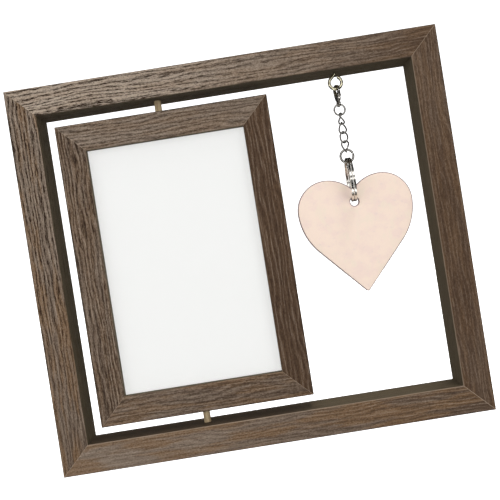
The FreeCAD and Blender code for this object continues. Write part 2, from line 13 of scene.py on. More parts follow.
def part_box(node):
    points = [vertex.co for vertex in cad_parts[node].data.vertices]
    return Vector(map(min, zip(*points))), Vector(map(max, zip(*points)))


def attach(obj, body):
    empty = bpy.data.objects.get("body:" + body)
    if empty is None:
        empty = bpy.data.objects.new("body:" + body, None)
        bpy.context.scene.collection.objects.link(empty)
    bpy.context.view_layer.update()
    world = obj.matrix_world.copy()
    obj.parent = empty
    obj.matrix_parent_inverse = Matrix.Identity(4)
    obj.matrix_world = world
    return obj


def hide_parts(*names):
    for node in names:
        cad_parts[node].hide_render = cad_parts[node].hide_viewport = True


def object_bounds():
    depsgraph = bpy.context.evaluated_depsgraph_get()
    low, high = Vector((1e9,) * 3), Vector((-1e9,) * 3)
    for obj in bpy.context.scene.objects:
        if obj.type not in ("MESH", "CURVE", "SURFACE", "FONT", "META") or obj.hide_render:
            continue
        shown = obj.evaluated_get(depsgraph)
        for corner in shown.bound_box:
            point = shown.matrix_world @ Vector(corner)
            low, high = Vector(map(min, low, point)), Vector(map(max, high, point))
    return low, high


bl_info = {
    "name": "Rotating Photo Frame",
    "version": (1, 0, 0),
    "blender": (4, 5, 0),
    "location": "3D View > Sidebar > Photo Frame",
    "description": "Makes the finishes and the small metal pieces of a rotating photo frame",
    "category": "Object",
}

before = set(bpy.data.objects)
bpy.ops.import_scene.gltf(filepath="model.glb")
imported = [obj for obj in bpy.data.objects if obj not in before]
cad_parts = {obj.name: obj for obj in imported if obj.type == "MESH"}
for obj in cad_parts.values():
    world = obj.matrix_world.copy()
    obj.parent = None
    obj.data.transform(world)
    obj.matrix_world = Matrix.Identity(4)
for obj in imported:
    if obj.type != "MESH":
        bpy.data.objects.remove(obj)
solid_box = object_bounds()

MM = 0.001

SHARP_ANGLE = math.radians(38)
BACKWARD = np.array([0, 1.0, 0])
# Tint of the prints' glow: painted light that fills the shade on them
PAINTED_GLOW_TINT = (1.0, 1.0, 0.985)

# How many points the curves have
ROUND_POINTS = 96
LOOP_POINTS = 73
BEND_POINTS = 9
LINK_POINTS = 120
COIL_POINTS = 241
LOBE_POINTS = 60
STRAIGHT_POINTS = 40
HEART_TIP_POINTS = 12
BUTTON_ROOT_POINTS = 48
BUTTON_TIP_POINTS = 32

# How many rows the surfaces have: on a plate's rounded edge and its face, on a pane's edge, on a screw's dome, on the
# room's floor and its bend, and on the curtain
EDGE_ROWS = 5
FACE_ROWS = 7
PANE_ROWS = 4
DOME_ROWS = 40
FLOOR_ROWS = 12
BEND_ROWS = 24
CURTAIN_ROWS = 49

# How many growth lines the slow and the quick bends of the grain shift it by
BEND_LINES = 4.5
WANDER_LINES = 0.8

# The wrap's patterns: from where to where each grows from nothing to all, and how much of its colour it then gives
DARK_LINES = (0.3, 0.85)
WIDE_LINES = (-0.4, 0.6)
PALE_LINES = (0.5, 0.0)
PORE_BREAKS = (0.44, 0.56)
TICK_BREAKS = (0.56, 0.68)
FLECK_FIBRES = (0.48, 0.64)
DARK_FIBRES = (0.6, 0.4)
DARK_SPECKS = (0.54, 0.66)
PALE_SPECKS = (0.46, 0.34)
BROWN_STREAKS = (0.42, 0.6)
CLOUD_SHARE = 0.3
TICK_SHARE = 0.5
FLECK_SHARE = 0.45
FIBRE_SHARE = 0.25
PORE_SHARE = 0.85

# How far a surface looks along or against an axis where the painted shade on the mouldings' outer and inner sides
# begins and is full, and where the heart's rim and its cut edge do
OUTER_SIDE_SHADE = (-0.35, -0.8)
INNER_SIDE_SHADE = (0.75, 0.97)
HEART_RIM = (0.998, 0.96)
HEART_CUT = (0.5, 0.2)

# Where the curtain's profile ends, just short of straight up, and the middle of its window: an angle about the
# vertical, with -pi / 2 straight in front
NEARLY_UPRIGHT = 0.4995 * math.pi
WINDOW_TURN = -1.36

# Where each light stands
LIGHT_PLACES = {
    "key": (-0.45, -0.8, 0.35),
    "fill": (0.5, -0.95, 0.15),
    "top": (0.3, 0.0, 1.0),
    "back": (0.0, 1.1, 0.15),
}

# For each moulding, from its left or lower end to its other end: how deep its tone is at both ends, partly its own
# tone and partly painted light that fades from the upper left, how strong its pores are at both ends, how clear the
# painted highlight on its front inner edge is, how brown its streaks are, and how much painted shadow darkens its
# inner side where the inner frame stands over it
RAIL_SHARES = {
    "outer_top_rail": (-0.21, 1.01, 1.45, 0.5, 0.1, 0.3, 0.0),
    "outer_left_stile": (0.83, 0.56, 0.6, 1.6, 0.1, 0.7, 0.0),
    "outer_right_stile": (0.98, 0.95, 0.45, 0.45, 0.6, 0.25, 0.0),
    "outer_bottom_rail": (0.52, 0.94, 0.35, 0.7, 0.6, 0.7, 0.7),
    "inner_top_rail": (0.55, 0.65, 0.95, 0.75, 0.1, 0.3, 0.0),
    "inner_left_stile": (0.81, 0.81, 0.95, 1.1, 0.1, 0.3, 0.0),
    "inner_right_stile": (1.03, 1.03, 0.7, 0.7, 0.1, 0.1, 0.0),
    "inner_bottom_rail": (0.74, 0.87, 0.7, 0.7, 0.1, 0.5, 0.0),
}


def tone(red, green, blue):
    """A colour given as it shows on screen, 0 to 255, as the linear light that shaders take."""
    shown = np.array([red, green, blue]) / 255
    light = np.where(shown <= 0.04045, shown / 12.92, ((shown + 0.055) / 1.055) ** 2.4)
    return tuple(float(value) for value in light)


def a_colour(name, description, red, green, blue):
    """A colour that the user can change."""
    return FloatVectorProperty(name=name, description=description, subtype="COLOR", size=3, min=0, max=1,
                               default=tone(red, green, blue))


def a_length(name, description, millimetres):
    """A length that the user can change."""
    return FloatProperty(name=name, description=description, unit="LENGTH", min=0, precision=5,
                         default=millimetres * MM)


def an_angle(name, description, degrees):
    """An angle that the user can change."""
    return FloatProperty(name=name, description=description, subtype="ANGLE", default=math.radians(degrees))


def a_power(name, description, watts):
    """A light's power that the user can change."""
    return FloatProperty(name=name, description=description, unit="POWER", min=0, default=watts)


def a_share(name, description, default):
    """A share from nothing to all that the user can change."""
    return FloatProperty(name=name, description=description, subtype="FACTOR", min=0, max=1, default=default)


def mm(*sizes):
    """Sizes in metres, given in millimetres."""
    return [size * MM for size in sizes]


def darker(colour, share):
    """A colour with only a share of its light."""
    return tuple(share * part for part in colour)


class WrapLook(bpy.types.PropertyGroup):
    """The wood-grain wrap on the mouldings."""
    # Pale and deep wood: partly the wrap's own grey and brown, and partly painted light, a sheen at the upper left
    # and shade towards the right
    pale_and_lit: a_colour("Pale wood", "The greyest wood, at the upper left", 180, 164, 147)
    deep_and_shaded: a_colour("Deep wood", "The brownest wood, at the right", 87, 66, 49)
    brown: a_colour("Brown streaks", "The browner streaks between grey ones", 128, 98, 68)
    pore: a_colour("Pores", "The dark pores pressed into the wrap", 44, 31, 22)
    fleck: a_colour("Flecks", "The pale flecks between the pores", 186, 170, 152)
    # Sides: painted shade on each moulding's narrow sides, which face away from the lights
    side: a_colour("Sides", "The dark narrow sides of each moulding", 88, 79, 60)
    shade: a_colour("Outline shade", "The dark line on an outer edge", 46, 42, 34)
    # Edge light: a painted highlight along a front inner edge
    edge: a_colour("Edge light", "The light line along a front inner edge", 158, 140, 122)
    mitre: a_colour("Mitre edge", "The raw pale edge that shows at a mitre", 190, 170, 148)
    ring_gap: a_length("Ring gap", "Distance from one growth line to the next", 2.3)
    pore_length: a_length("Pore length", "Length of one pressed pore", 4.4)
    pore_width: a_length("Pore width", "Width of one pressed pore", 0.38)
    streak_length: a_length("Streak length", "Length of a brown streak", 34)
    streak_width: a_length("Streak width", "Width of a brown streak", 4)
    wave_length: a_length("Wave length", "Length of one bend of the grain", 46)
    wave_width: a_length("Wave width", "Width over which the grain bends together", 9)
    tick_length: a_length("Tick length", "Length of the finest pores", 2.2)
    speck: a_length("Speck", "Size of the fine specks", 0.55)
    tick_width: a_length("Tick width", "Width of the finest pores", 0.3)
    edge_highlight_width: a_length("Edge line", "Width of the light line on a front inner edge", 0.7)
    outline: a_length("Outline", "Width of the dark line on an outer edge", 0.55)
    press_depth: a_length("Press depth", "Depth of the pores", 0.1)
    mitre_line: a_length("Mitre line", "Width of the line at a mitre", 0.2)
    gloss: a_share("Roughness", "How dull the wrap is", 0.7)


class MetalLook(bpy.types.PropertyGroup):
    """The bright plating of the chain, and the duller zinc at the back."""
    nickel: a_colour("Nickel", "Plating of the clasp and split ring", 226, 222, 214)
    # Chain: darker than the nickel, painted shade that makes the thin wires read darker
    chain: a_colour("Chain", "Plating of the jump rings and links", 172, 169, 163)
    eye: a_colour("Screw eye", "The warmer plating of the screw eye", 220, 213, 184)
    zinc: a_colour("Zinc", "Plating of the turn buttons, screws and nails", 176, 178, 180)
    polish: a_share("Roughness", "How dull the chain's and the clasp's plating is", 0.07)
    worn_polish: a_share("Worn roughness", "How dull the eye's and the split ring's plating is", 0.13)
    zinc_polish: a_share("Zinc roughness", "How dull the zinc is", 0.38)
    scratch_depth: a_length("Scratch depth", "Depth of the fine wear marks", 0.001)
    sides: IntProperty(name="Wire sides", description="Faces round a wire", default=24, min=8, max=64)


class PendantSizes(bpy.types.PropertyGroup):
    """Sizes of the pieces that hang from the top rail."""
    eye_wire: a_length("Eye wire", "Wire of the screw eye", 1.8)
    eye_inside: a_length("Eye inside", "Inside width of the eye", 5.2)
    eye_neck: a_length("Eye neck", "From the rail to where the eye's two lines meet", 0.7)
    eye_bend: a_length("Eye bend", "Radius of the bend below the shank", 1.6)
    eye_mouth: a_length("Eye mouth", "Gap at the eye's open end", 0.3)
    eye_grip: a_length("Eye grip", "Length of shank in the rail", 10)
    small_ring: a_length("Upper ring", "Outside width of the upper jump ring", 7.1)
    small_wire: a_length("Upper ring wire", "Wire of the upper jump ring", 1.0)
    large_ring: a_length("Lower ring", "Outside width of the lower jump ring", 8.6)
    large_wire: a_length("Lower ring wire", "Wire of the lower jump ring", 1.3)
    small_seam_at: an_angle("Upper seam", "Where the upper ring's seam is", 200)
    large_seam_at: an_angle("Lower seam", "Where the lower ring's seam is", 20)
    ring_seam: an_angle("Ring seam", "Opening of a jump ring's seam", 3)
    link_width: a_length("Link width", "Outside width of a chain link", 5.0)
    link_wire: a_length("Link wire", "Wire of a chain link", 0.9)
    link_inside: a_length("Link inside", "Inside length of a chain link", 5.4)
    link_seam: a_length("Link seam", "Opening of a link's seam", 0.12)
    link_twist: an_angle("Link twist", "Twist from a link's middle to its end", 56)
    link_facings: FloatVectorProperty(name="Link facings", description="How each link is turned about the vertical",
                                      size=4, default=(60, 20, -10, -50))
    split_width: a_length("Split ring", "Outside width of the split ring", 25)
    split_band: a_length("Split band", "Height of the split ring's wire", 1.5)
    split_wire: a_length("Split wire", "Thickness of the split ring's wire", 1.4)
    split_gap: a_length("Coil gap", "Gap between the split ring's coils", 0.2)
    split_turn: an_angle("Split turn", "How the split ring is turned about the vertical", -4)
    split_jog: an_angle("Jog", "Length of the step from coil to coil", 40)
    split_jog_at: an_angle("Jog place", "Where the step from coil to coil is", -70)


class HeartLook(bpy.types.PropertyGroup):
    """The heart blank."""
    face: a_colour("Face", "The heart's flat faces", 249, 227, 210)
    blush: a_colour("Blush", "The pinker clouds on the faces", 245, 221, 208)
    straw: a_colour("Straw", "The yellower clouds on the faces", 245, 227, 208)
    smudge: a_colour("Smudge", "Faint grey marks on the faces", 222, 208, 202)
    rim: a_colour("Rim", "The greyish line round the faces", 142, 122, 122)
    cut: a_colour("Cut edge", "The paler middle of the cut edge", 214, 194, 184)
    notch: a_length("Notch", "Depth of the notch below the lobes", 7.5)
    hole: a_length("Hole", "Width of the hole", 4.7)
    hole_below: a_length("Hole below notch", "From the notch down to the hole's middle", 6.8)
    tip_radius: a_length("Tip", "Radius of the tip", 1.5)
    edge_round: a_length("Edge", "Rounding of the edges", 0.6)
    lobe_share: a_share("Lobe middle", "Place of a lobe's top in half the width", 0.483)
    side_share: FloatProperty(name="Side bow", description="Radius of a side as a share of half the width",
                              default=1.04, min=1)


class PictureLook(bpy.types.PropertyGroup):
    """The panes and the blank prints."""
    # Card: kept grey, and a painted glow lifts it to white and fills the shade of the window's lip on it
    card: a_colour("Card", "The blank prints", 148, 148, 147)
    card_painted_light: a_share("Card glow", "Light that the prints give by themselves, as bleached paper does", 0.63)
    tint: a_colour("Glass tint", "The tint of the panes", 236, 242, 240)
    pane_edge: a_length("Pane edge", "Rounding of a pane's edges", 0.2)
    pane_air: a_length("Pane air", "Air between a pane and its print", 0.05)
    pane_share: a_share("Pane share", "How much of a pane is seen before what is behind it", 0.03)


class BackSizes(bpy.types.PropertyGroup):
    """The turn buttons and their screws."""
    root: a_length("Button root", "Width of a button at its screw", 6.4)
    tip: a_length("Button tip", "Width of a button at its tip", 4.4)
    reach: a_length("Button reach", "From the screw to the tip's middle", 9)
    bore: a_length("Button bore", "Width of a button's hole", 2.56)
    edge_round: a_length("Button edge", "Rounding of a button's edges", 0.15)
    head: a_length("Screw head", "Width of a screw's head", 4.8)
    head_height: a_length("Head height", "Height of a screw's head", 1.2)
    shank: a_length("Screw shank", "Width of a screw's shank", 2.4)
    recess: a_length("Recess", "Length of the cross recess", 2.6)
    recess_width: a_length("Recess width", "Width of a slot of the recess", 0.55)
    recess_depth: a_length("Recess depth", "Depth of the recess", 0.7)


class StudioLook(bpy.types.PropertyGroup):
    """The camera, the white room and its lights."""
    distance: a_length("Distance", "From the camera to the frame's front", 356)
    lens: FloatProperty(name="Lens", description="Focal length in millimetres", default=46.42, min=1)
    roll: an_angle("Roll", "How far the camera is turned about its view", -9)
    aside: FloatProperty(name="Aside", description="Camera to the right of the frame's middle", unit="LENGTH",
                         default=0.3 * MM)
    above: FloatProperty(name="Above", description="Camera above the frame's middle", unit="LENGTH",
                         default=0.4 * MM)
    white: a_colour("Room", "The floor and the wall", 250, 250, 250)
    room_glow: a_share("Room glow", "Light that the floor and the wall give by themselves", 1.0)
    room_radius: a_length("Room radius", "From the middle of the floor to the wall", 1600)
    room_height: a_length("Room height", "Height of the wall", 1800)
    room_bend: a_length("Room bend", "Radius of the bend from floor to wall", 600)
    curtain_radius: a_length("Curtain radius", "Radius of the dark curtain seen only in reflections", 1450)
    curtain_dark: a_share("Curtain dark", "Light of the curtain's dark bands", 0.01)
    curtain_light: FloatProperty(name="Curtain light", description="Light of the curtain's pale bands", default=2.2)
    ambient: a_share("Ambient", "Even light from all round", 0.37)
    key_power: a_power("Key", "Power of the large light at the upper left", 3.9)
    fill_power: a_power("Fill", "Power of the light beside the camera", 4.4)
    top_power: a_power("Top", "Power of the light above", 6.5)
    back_power: a_power("Back", "Power of the light behind", 8.0)
    light_size: a_length("Light size", "Width of each light", 950)
    top_depth: a_length("Top depth", "Depth of the light above", 200)


class Value:
    """A number that changes over a surface: arithmetic on it adds the nodes that work it out."""

    def __init__(self, finish, socket):
        self.finish = finish
        self.socket = socket

    def math(self, operation, *values):
        """The result of one operation on numbers."""
        return self.finish.node("ShaderNodeMath", dict(enumerate(values)), operation=operation)

    def __add__(self, other):
        return self.math("ADD", self, other)

    def __radd__(self, other):
        return self.math("ADD", other, self)

    def __sub__(self, other):
        return self.math("SUBTRACT", self, other)

    def __rsub__(self, other):
        return self.math("SUBTRACT", other, self)

    def __mul__(self, other):
        return self.math("MULTIPLY", self, other)

    def __rmul__(self, other):
        return self.math("MULTIPLY", other, self)

    def __truediv__(self, other):
        return self.math("DIVIDE", self, other)

    def __abs__(self):
        return self.math("ABSOLUTE", self)

    def sine(self):
        """Its sine, between 0 and 1."""
        return 0.5 + 0.5 * self.math("SINE", self)

    def most(self, other):
        """The larger of it and another."""
        return self.math("MAXIMUM", self, other)

    def rise(self, low, high):
        """0 where it is below low, 1 above high and a smooth step between them."""
        return self.finish.node("ShaderNodeMapRange", {"Value": self, "From Min": low, "From Max": high},
                                interpolation_type="SMOOTHSTEP")

    def toward(self, colour, amount):
        """This colour turned into another as the amount goes from 0 to 1."""
        return self.finish.blend(amount, self, colour)


class Finish:
    """A material being made for one kind of surface."""

    def __init__(self, name):
        self.material = bpy.data.materials.new(name)
        self.material.use_nodes = True
        self.tree = self.material.node_tree
        self.tree.nodes.clear()
        self.place = self.node("ShaderNodeTexCoord", output="Object")
        self.x, self.y, self.z = self.node("ShaderNodeSeparateXYZ", {"Vector": self.place}, output=None)

    def node(self, kind, inputs=None, output=0, **settings):
        """A node of a kind, with its settings, and its sockets filled with values or links."""
        made = self.tree.nodes.new(kind)
        for key, value in settings.items():
            setattr(made, key, value)
        for key, value in (inputs or {}).items():
            if isinstance(value, Value):
                self.tree.links.new(value.socket, made.inputs[key])
            else:
                made.inputs[key].default_value = value
        if output is None:
            return [Value(self, socket) for socket in made.outputs]
        return Value(self, made.outputs[output])

    def noise(self, sizes, seed, detail=3.0, roughness=0.55):
        """Cloudy noise whose clouds have these sizes along the three axes, shifted by a seed."""
        spread = self.node("ShaderNodeMapping", {"Vector": self.place, "Location": (seed, seed / 2, -seed),
                                                 "Scale": [1 / size for size in sizes]})
        return self.node("ShaderNodeTexNoise", {"Vector": spread, "Scale": 1.0, "Detail": detail,
                                                "Roughness": roughness})

    def blend(self, amount, first, second):
        """A colour from first to second as the amount goes from 0 to 1."""
        colours = [value if isinstance(value, Value) else (*value, 1.0) for value in (first, second)]
        return self.node("ShaderNodeMix", {0: amount, 6: colours[0], 7: colours[1]}, output=2, data_type="RGBA")

    def facing(self):
        """The three parts of the surface's direction."""
        direction = self.node("ShaderNodeTexCoord", output="Normal")
        return self.node("ShaderNodeSeparateXYZ", {"Vector": direction}, output=None)

    def relief(self, height, depth):
        """The surface's direction where a pattern of a height is pressed into it to a depth."""
        return self.node("ShaderNodeBump", {"Height": height, "Distance": depth, "Strength": 1.0})

    def shade(self, **sockets):
        """Ends the material with one surface shader, its sockets named with underscores for spaces."""
        inputs = {key.replace("_", " "): value for key, value in sockets.items()}
        for key in ("Base Color", "Emission Color"):
            if key in inputs and not isinstance(inputs[key], Value):
                inputs[key] = (*inputs[key], 1.0)
        shader = self.node("ShaderNodeBsdfPrincipled", inputs)
        self.node("ShaderNodeOutputMaterial", {"Surface": shader}, output=None)
        return self.material


def solid_of(node):
    """A node's solid, or an error when the part has none by that name."""
    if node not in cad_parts:
        raise RuntimeError("The part has no solid named " + node)
    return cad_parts[node]


def set_finish(node, material):
    """Puts a material on a solid that stays as it is."""
    for holder in solid_of(node).material_slots:
        holder.material = material


def unit(vectors):
    """Vectors of an array, each made one long."""
    return vectors / np.linalg.norm(vectors, axis=-1, keepdims=True)


def grid_faces(rows, columns, wrap_rows):
    """The faces of a grid of points whose columns join up, and whose rows may: a cell joins each point to the
    next in its row and to those after both in the next row."""
    row, column = np.meshgrid(np.arange(rows if wrap_rows else rows - 1), np.arange(columns), indexing="ij")
    next_row = (row + 1) % rows
    next_column = (column + 1) % columns
    corners = [row * columns + column, row * columns + next_column,
               next_row * columns + next_column, next_row * columns + column]
    return np.stack(corners, axis=-1).reshape(-1, 4)


def enclosed(points, faces):
    """Six times the volume inside four-sided faces: each half face with the origin encloses a corner product."""
    a, b, c, d = (points[faces[:, k]] for k in range(4))
    return np.sum(a * np.cross(b, c)) + np.sum(a * np.cross(c, d))


def add_piece(node, kind, skins, body, finish, wrap_rows=False):
    """One object that stands for a node, from closed skins: grids of points whose columns join up, and whose
    rows join up or end in caps. Faces are turned outwards by the sign of the volume that they enclose."""
    name = node + "_" + kind
    vertices = []
    faces = []
    start = 0
    for points in skins:
        if not np.isfinite(points).all():
            raise RuntimeError("The sizes of %s can't be met" % name)
        rows, columns, _ = points.shape
        flat = points.reshape(-1, 3)
        cells = grid_faces(rows, columns, wrap_rows)
        middle = flat.mean(axis=0)
        inside_out = enclosed(flat - middle, cells) < 0
        caps = [] if wrap_rows else [np.arange(columns)[::-1], np.arange(columns) + (rows - 1) * columns]
        for face in [*cells, *caps]:
            faces.append((face[::-1] if inside_out else face) + start)
        vertices.append(flat)
        start += len(flat)
    mesh = bpy.data.meshes.new(name)
    mesh.from_pydata(np.concatenate(vertices).tolist(), [], [face.tolist() for face in faces])
    mesh.materials.append(finish)
    place_piece(bpy.data.objects.new(name, mesh), body, node)


def place_piece(piece, body, stands_for):
    """Shades a piece smoothly, shows it, ties it to its body, and hides the solid that it stands for."""
    solid_of(stands_for)
    piece.data.shade_smooth()
    piece.data.set_sharp_from_angle(angle=SHARP_ANGLE)
    bpy.context.scene.collection.objects.link(piece)
    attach(piece, body)
    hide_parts(stands_for)


def box_of(node):
    """The lowest and the highest corner of a solid's box."""
    return [np.array(corner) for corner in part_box(node)]


def middle_of(node):
    """The middle of a solid's box."""
    low, high = box_of(node)
    return (low + high) / 2


def sweep(path, side, section, swell=None):
    """A section carried along a path: point = path + swell (section x side + section y (heading x side)),
    with side made square to the heading."""
    heading = unit(np.gradient(path, axis=0))
    side = np.broadcast_to(side, path.shape)
    side = unit(side - heading * np.sum(side * heading, axis=1, keepdims=True))
    other = np.cross(heading, side)
    swell = np.ones(len(path)) if swell is None else swell
    across = section[None, :, 0, None] * side[:, None, :] + section[None, :, 1, None] * other[:, None, :]
    return path[:, None, :] + swell[:, None, None] * across


def around(angle):
    """Points at these angles round a circle of radius one: (cos a, sin a)."""
    return np.stack([np.cos(angle), np.sin(angle)], axis=1)


def turned(flat_points, angle):
    """Points (r, z) of a drawing turned about the vertical: (r cos a, r sin a, z)."""
    return flat_points[..., [0, 0, 1]] * np.insert(around(angle), 2, 1.0, axis=1)


def circle(radius, count):
    """Points round a circle: radius (cos a, sin a)."""
    return radius * around(np.linspace(0, 2 * math.pi, count, endpoint=False))


def arc(centre, radius, start, end, count):
    """Points along an arc: centre + radius (cos a, sin a), with a from start to end."""
    return np.array(centre) + radius * around(np.linspace(start, end, count))


def upright(flat_points):
    """Points of an XZ drawing set upright in space."""
    return np.insert(flat_points, 1, 0.0, axis=1)


def cut_ends(path, radius):
    """How far a wire swells along its path: its two cut ends are eased in by a fifth of its radius."""
    run = np.concatenate([[0], np.cumsum(np.linalg.norm(np.diff(path, axis=0), axis=1))])
    from_end = np.minimum(run, run[-1] - run)
    ease = radius / 5
    return 1 - (1 - np.minimum(from_end / ease, 1)) ** 2 / 5


def add_wire(node, body, path, side, wire, finish, sides):
    """A round wire along a path, with its cut ends eased in, that stands for a solid."""
    skin = sweep(path, side, circle(wire / 2, sides), cut_ends(path, wire / 2))
    add_piece(node, "wire", [skin], body, finish)


def end_spacing(count, length, ease):
    """Lengths along a wire, even but for three close ones at each end, where the cut is eased."""
    close = ease * np.array([0, 0.4, 0.8])
    return np.concatenate([close, np.linspace(ease, length - ease, count), length - close[::-1]])


def grain_finish(node, look):
    """The wood-grain wrap of one moulding, with its grain along the moulding and pale lines at its mitres.

    Growth lines follow sin(2 pi (across / gap + bend)), where bend is slow noise drawn out along the grain, so
    that they run in long waves and arches. Pores are short noise kept where the growth lines are dark.
    """
    along, across = (0, 2) if node.endswith("rail") else (2, 0)
    low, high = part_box(node)
    inward = 1 if node.split("_")[1] in ("left", "bottom") else -1
    outer_edge, inner_edge = (low[across], high[across])[::inward]
    seed = 3.1 * list(RAIL_SHARES).index(node)
    finish = Finish(node + "_wrap")
    axes = [finish.x, finish.y, finish.z]

    def drawn_out(length, width, shift=0, **settings):
        """Noise whose clouds are long along the grain and narrow across it."""
        sizes = [width] * 3
        sizes[along] = length
        return finish.noise(sizes, seed + shift, **settings)

    bend = drawn_out(look.wave_length, look.wave_width, detail=1.5)
    wander = drawn_out(look.pore_length * 2, look.ring_gap, 5)
    turns = (axes[across] + finish.y) / look.ring_gap + BEND_LINES * bend + WANDER_LINES * wander
    rings = (turns * (2 * math.pi)).sine()
    breaks = drawn_out(look.pore_length, look.pore_width, 9, detail=5, roughness=0.65)
    ticks = drawn_out(look.tick_length, look.tick_width, 11)
    specks = drawn_out(look.speck * 2, look.speck, 15, detail=2)
    fibre = drawn_out(look.pore_length * 3, look.pore_width / 2, 13, detail=5)
    clouds = drawn_out(look.wave_length, look.wave_width, 17, detail=2)
    streaks = drawn_out(look.streak_length, look.streak_width, 19)
    first_tone_and_shade, last_tone_and_shade, first_relief, last_relief, edge_highlight_share, brown_share, under_shadow_share = RAIL_SHARES[node]
    run = (axes[along] - low[along]) / (high[along] - low[along])
    # Painted light: the tone deepens from each moulding's lit end to its other end, partly as light falls off
    depth = first_tone_and_shade + (last_tone_and_shade - first_tone_and_shade) * run
    coarse = first_relief + (last_relief - first_relief) * run
    pores = rings.rise(*DARK_LINES) * breaks.rise(*PORE_BREAKS)
    small = ticks.rise(*TICK_BREAKS) * rings.rise(*WIDE_LINES)
    pressed = (pores * coarse).most(TICK_SHARE * small)
    flecks = rings.rise(*PALE_LINES) * fibre.rise(*FLECK_FIBRES)
    colour = finish.blend(depth + CLOUD_SHARE * (clouds - 0.5), look.pale_and_lit, look.deep_and_shaded)
    colour = colour.toward(look.brown, brown_share * streaks.rise(*BROWN_STREAKS))
    colour = colour.toward(look.fleck, FLECK_SHARE * flecks * coarse)
    colour = colour.toward(look.pore, FIBRE_SHARE * fibre.rise(*DARK_FIBRES))
    speckled = 0.3 + 0.18 * coarse
    colour = colour.toward(look.pore, speckled * specks.rise(*DARK_SPECKS))
    colour = colour.toward(look.fleck, speckled * (1.15 - depth) * specks.rise(*PALE_SPECKS))
    colour = colour.toward(look.pore, PORE_SHARE * pressed)

    from_edge = inward * (axes[across] - outer_edge)
    from_inner = inward * (inner_edge - axes[across])
    half = (high[along] - low[along]) / 2
    middle = (high[along] + low[along]) / 2
    from_mitre = abs(half - abs(axes[along] - middle) - from_edge)
    beads = finish.noise(mm(1.6, 1.6, 1.6), seed + 21).rise(0.4, 0.62)
    line = from_mitre.rise(look.mitre_line, look.mitre_line / 4)
    colour = colour.toward(look.mitre, line * (0.15 + 0.6 * edge_highlight_share + 0.4 * beads))
    # Painted highlight along the front inner edge, where its rounding catches the light
    colour = colour.toward(look.edge, edge_highlight_share * from_inner.rise(look.edge_highlight_width, look.edge_highlight_width / 3))
    # Painted shade along each outer edge, where its rounding turns away from the light
    outline = (0.3 + 0.5 * depth) * from_edge.rise(look.outline, look.outline / 3)
    colour = colour.toward(look.shade, outline)

    facing = finish.facing()[across] * inward
    # Painted shade on the narrow sides, strongest on the inner sides round the opening
    outer_side_shade = facing.rise(*OUTER_SIDE_SHADE)
    inner_side_shade = facing.rise(*INNER_SIDE_SHADE)
    shaded = finish.blend(0.4 * fibre.rise(0.62, 0.4) + 0.3 * pressed, look.side, look.pore)
    # Painted shadow of the inner frame on the bottom rail's inner side, fading out towards the right
    shaded = shaded.toward(look.pore, under_shadow_share * run.rise(0.66, 0.5))
    colour = colour.toward(shaded, (0.3 * outer_side_shade).most(0.9 * inner_side_shade))
    height = 1 - pressed - 0.35 * line + 0.2 * fibre
    return finish.shade(Base_Color=colour, Roughness=look.gloss - 0.12 * flecks + 0.15 * pressed,
                        Specular_IOR_Level=0.12, Normal=finish.relief(height, look.press_depth))


def dress_frame(prefix, scene):
    """Gives every moulding of one frame its own wrap, and plates its nails."""
    for node in RAIL_SHARES:
        if node.startswith(prefix):
            set_finish(node, grain_finish(node, scene.wrap_look))
    set_finish(prefix + "_corner_nails", zinc_finish(scene.metal_look))


def dowel_finish():
    """Pale turned wood: long fibres, a few darker ones and faint tool rings."""
    finish = Finish("pale_dowel")
    fibre = finish.noise(mm(0.35, 0.35, 9), 2, detail=4)
    stain = finish.noise(mm(2, 2, 3), 6)
    colour = finish.blend(fibre.rise(0.35, 0.7), tone(150, 128, 96), tone(206, 186, 148))
    colour = colour.toward(tone(120, 98, 70), stain.rise(0.5, 0.7) * 0.4)
    tool = (finish.z * (2 * math.pi / (0.7 * MM))).sine()
    return finish.shade(Base_Color=colour, Roughness=0.7 + 0.2 * fibre,
                        Normal=finish.relief(fibre + 0.3 * tool, 0.08 * MM))


def glass_finish(look):
    """A thin clear pane: nearly see-through, with a faint green tint and soft smears in its gloss."""
    finish = Finish("clear_pane")
    smear = finish.noise(mm(30, 30, 18), 4, detail=2)
    return finish.shade(Base_Color=look.tint, Roughness=0.03 + 0.05 * smear, Alpha=look.pane_share,
                        Specular_IOR_Level=0.35, IOR=1.45)


def card_finish(look):
    """White card with short paper fibres."""
    finish = Finish("white_card")
    fibres = finish.noise(mm(0.5, 0.5, 0.25), 8, detail=4)
    colour = finish.blend(fibres.rise(0.3, 0.7), darker(look.card, 0.97), look.card)
    # The glow is painted light: it fills the shade that the lip casts on the print
    return finish.shade(Base_Color=colour, Roughness=0.85, Specular_IOR_Level=0.2,
                        Normal=finish.relief(fibres, 0.01 * MM), Emission_Color=PAINTED_GLOW_TINT,
                        Emission_Strength=look.card_painted_light)


def board_finish():
    """Brown pressed board with loose fibres."""
    finish = Finish("pressed_board")
    fibres = finish.noise(mm(1.4, 1.4, 0.4), 12, detail=5)
    colour = finish.blend(fibres.rise(0.35, 0.7), tone(98, 72, 50), tone(142, 112, 82))
    return finish.shade(Base_Color=colour, Roughness=0.8, Normal=finish.relief(fibres, 0.05 * MM))


def bright_finish(name, colour, look, polish):
    """Polished plating: fine wear marks in its gloss and relief, and a little darker in its dull patches."""
    finish = Finish(name)
    marks = finish.noise(mm(0.9, 0.12, 0.2), 3, detail=4)
    patches = finish.noise(mm(1.3, 1.3, 1.3), 7)
    dull = patches.rise(0.5, 0.75)
    shown = finish.blend(0.35 * dull, colour, darker(colour, 0.6))
    return finish.shade(Base_Color=shown, Metallic=1.0, Roughness=polish + 0.12 * dull + 0.05 * marks,
                        Normal=finish.relief(marks, look.scratch_depth))


